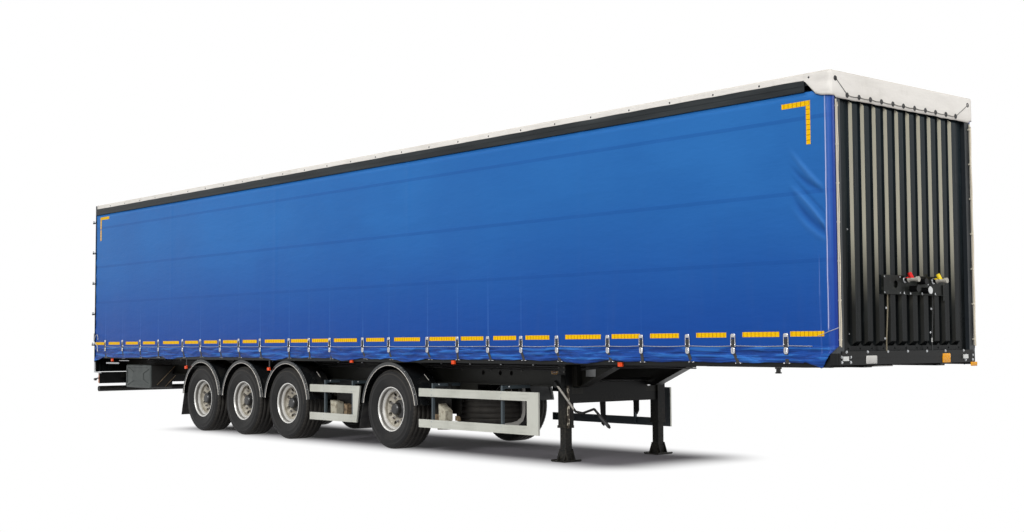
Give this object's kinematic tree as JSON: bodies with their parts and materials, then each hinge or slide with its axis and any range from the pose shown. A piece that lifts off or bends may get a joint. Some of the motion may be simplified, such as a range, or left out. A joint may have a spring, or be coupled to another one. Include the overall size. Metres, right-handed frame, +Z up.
{
  "type": "curtain-sided semi trailer",
  "caption": "Curtain-sided semi trailer with a flat front wall, rear doors, landing legs and a spaced forward axle ahead of a rear axle group; it is coupled to a tractor by its kingpin.",
  "frame": {"origin": "on the ground under the middle of the body", "axes": "+X forward to the kingpin and front wall, +Y to the left side, +Z up"},
  "size_m": [16.726, 2.576, 4],
  "materials": {
    "black_rubber": "black rubber",
    "tank_paint": "black painted steel",
    "chassis_paint": "black chassis paint",
    "coupling_red": "red coupling head",
    "bare_steel": "bare steel",
    "buckle_steel": "stainless buckles on black webbing",
    "blue_tarpaulin": "coated tarpaulin, glossy",
    "galvanised": "zinc coated",
    "anthracite_panel": "anthracite coating, satin",
    "floor_board": "coated plywood",
    "amber_lens": "amber lens",
    "black_plastic": "black plastic",
    "door_panel": "light grey door panel",
    "roof_rail_finish": "anthracite anodised rail",
    "white_tarpaulin": "coated tarpaulin, satin",
    "hose_black": "black hose",
    "guard_aluminium": "anodised aluminium rail",
    "tyre_rubber": "black tyre",
    "wheel_silver": "silver wheel paint",
    "box_plastic": "dark moulded plastic",
    "lamp_lens": "red lamp lens"
  },
  "bodies": {
    "root": {"air_springs": "black_rubber", "air_tanks": "tank_paint", "axle_1": "chassis_paint", "axle_2": "chassis_paint", "axle_3": "chassis_paint", "axle_4": "chassis_paint", "coupling_heads": "coupling_red", "coupling_plate": "bare_steel", "cross_members": "chassis_paint", "curtain_buckles": "buckle_steel", "curtain_left": "blue_tarpaulin", "curtain_right": "blue_tarpaulin", "front_bolster": "chassis_paint", "front_posts": "anthracite_panel", "front_wall": "anthracite_panel", "kingpin": "bare_steel", "landing_drive": "chassis_paint", "landing_legs": "chassis_paint", "load_floor": "floor_board", "main_beams": "chassis_paint", "marker_lamps": "amber_lens", "mud_flaps": "black_rubber", "mudguards": "black_plastic", "rear_buffers": "black_rubber", "rear_portal": "anthracite_panel", "roof_bows": "galvanised", "roof_rails": "roof_rail_finish", "roof_tarp": "white_tarpaulin", "service_lines": "hose_black", "service_panel": "black_plastic", "side_guards": "guard_aluminium", "side_pillars": "galvanised", "side_rails": "chassis_paint", "spare_cradle": "chassis_paint", "spare_tyre": "tyre_rubber", "spare_wheel": "wheel_silver", "storage_box": "box_plastic", "suspension_arms": "chassis_paint", "tail_lamps": "lamp_lens", "underrun_bar": "chassis_paint"},
    "wheel_1_left_body": {"tyre_1_left": "tyre_rubber", "wheel_1_left": "wheel_silver"},
    "wheel_1_right_body": {"tyre_1_right": "tyre_rubber", "wheel_1_right": "wheel_silver"},
    "wheel_2_left_body": {"tyre_2_left": "tyre_rubber", "wheel_2_left": "wheel_silver"},
    "wheel_2_right_body": {"tyre_2_right": "tyre_rubber", "wheel_2_right": "wheel_silver"},
    "wheel_3_left_body": {"tyre_3_left": "tyre_rubber", "wheel_3_left": "wheel_silver"},
    "wheel_3_right_body": {"tyre_3_right": "tyre_rubber", "wheel_3_right": "wheel_silver"},
    "wheel_4_left_body": {"tyre_4_left": "tyre_rubber", "wheel_4_left": "wheel_silver"},
    "wheel_4_right_body": {"tyre_4_right": "tyre_rubber", "wheel_4_right": "wheel_silver"},
    "rear_door_left_body": {"rear_door_left": "door_panel", "door_gear_left": "galvanised"},
    "rear_door_right_body": {"rear_door_right": "door_panel", "door_gear_right": "galvanised"}
  },
  "joints": [
    {"name": "wheel_1_left_spin", "type": "hinge", "parent": "root", "child": "wheel_1_left_body", "pos_m": [1.04, 1.02, 0.532], "axis": [0, 1, 0], "continuous": true},
    {"name": "wheel_1_right_spin", "type": "hinge", "parent": "root", "child": "wheel_1_right_body", "pos_m": [1.04, -1.02, 0.532], "axis": [0, 1, 0], "continuous": true},
    {"name": "wheel_2_left_spin", "type": "hinge", "parent": "root", "child": "wheel_2_left_body", "pos_m": [-1.57, 1.02, 0.532], "axis": [0, 1, 0], "continuous": true},
    {"name": "wheel_2_right_spin", "type": "hinge", "parent": "root", "child": "wheel_2_right_body", "pos_m": [-1.57, -1.02, 0.532], "axis": [0, 1, 0], "continuous": true},
    {"name": "wheel_3_left_spin", "type": "hinge", "parent": "root", "child": "wheel_3_left_body", "pos_m": [-2.88, 1.02, 0.532], "axis": [0, 1, 0], "continuous": true},
    {"name": "wheel_3_right_spin", "type": "hinge", "parent": "root", "child": "wheel_3_right_body", "pos_m": [-2.88, -1.02, 0.532], "axis": [0, 1, 0], "continuous": true},
    {"name": "wheel_4_left_spin", "type": "hinge", "parent": "root", "child": "wheel_4_left_body", "pos_m": [-4.19, 1.02, 0.532], "axis": [0, 1, 0], "continuous": true},
    {"name": "wheel_4_right_spin", "type": "hinge", "parent": "root", "child": "wheel_4_right_body", "pos_m": [-4.19, -1.02, 0.532], "axis": [0, 1, 0], "continuous": true},
    {"name": "rear_door_left_hinge", "type": "hinge", "parent": "root", "child": "rear_door_left_body", "pos_m": [-8.295, 1.275, 2.56], "axis": [0, 0, -1], "range_deg": [0, 270]},
    {"name": "rear_door_right_hinge", "type": "hinge", "parent": "root", "child": "rear_door_right_body", "pos_m": [-8.295, -1.275, 2.56], "axis": [0, 0, 1], "range_deg": [0, 270]}
  ]
}
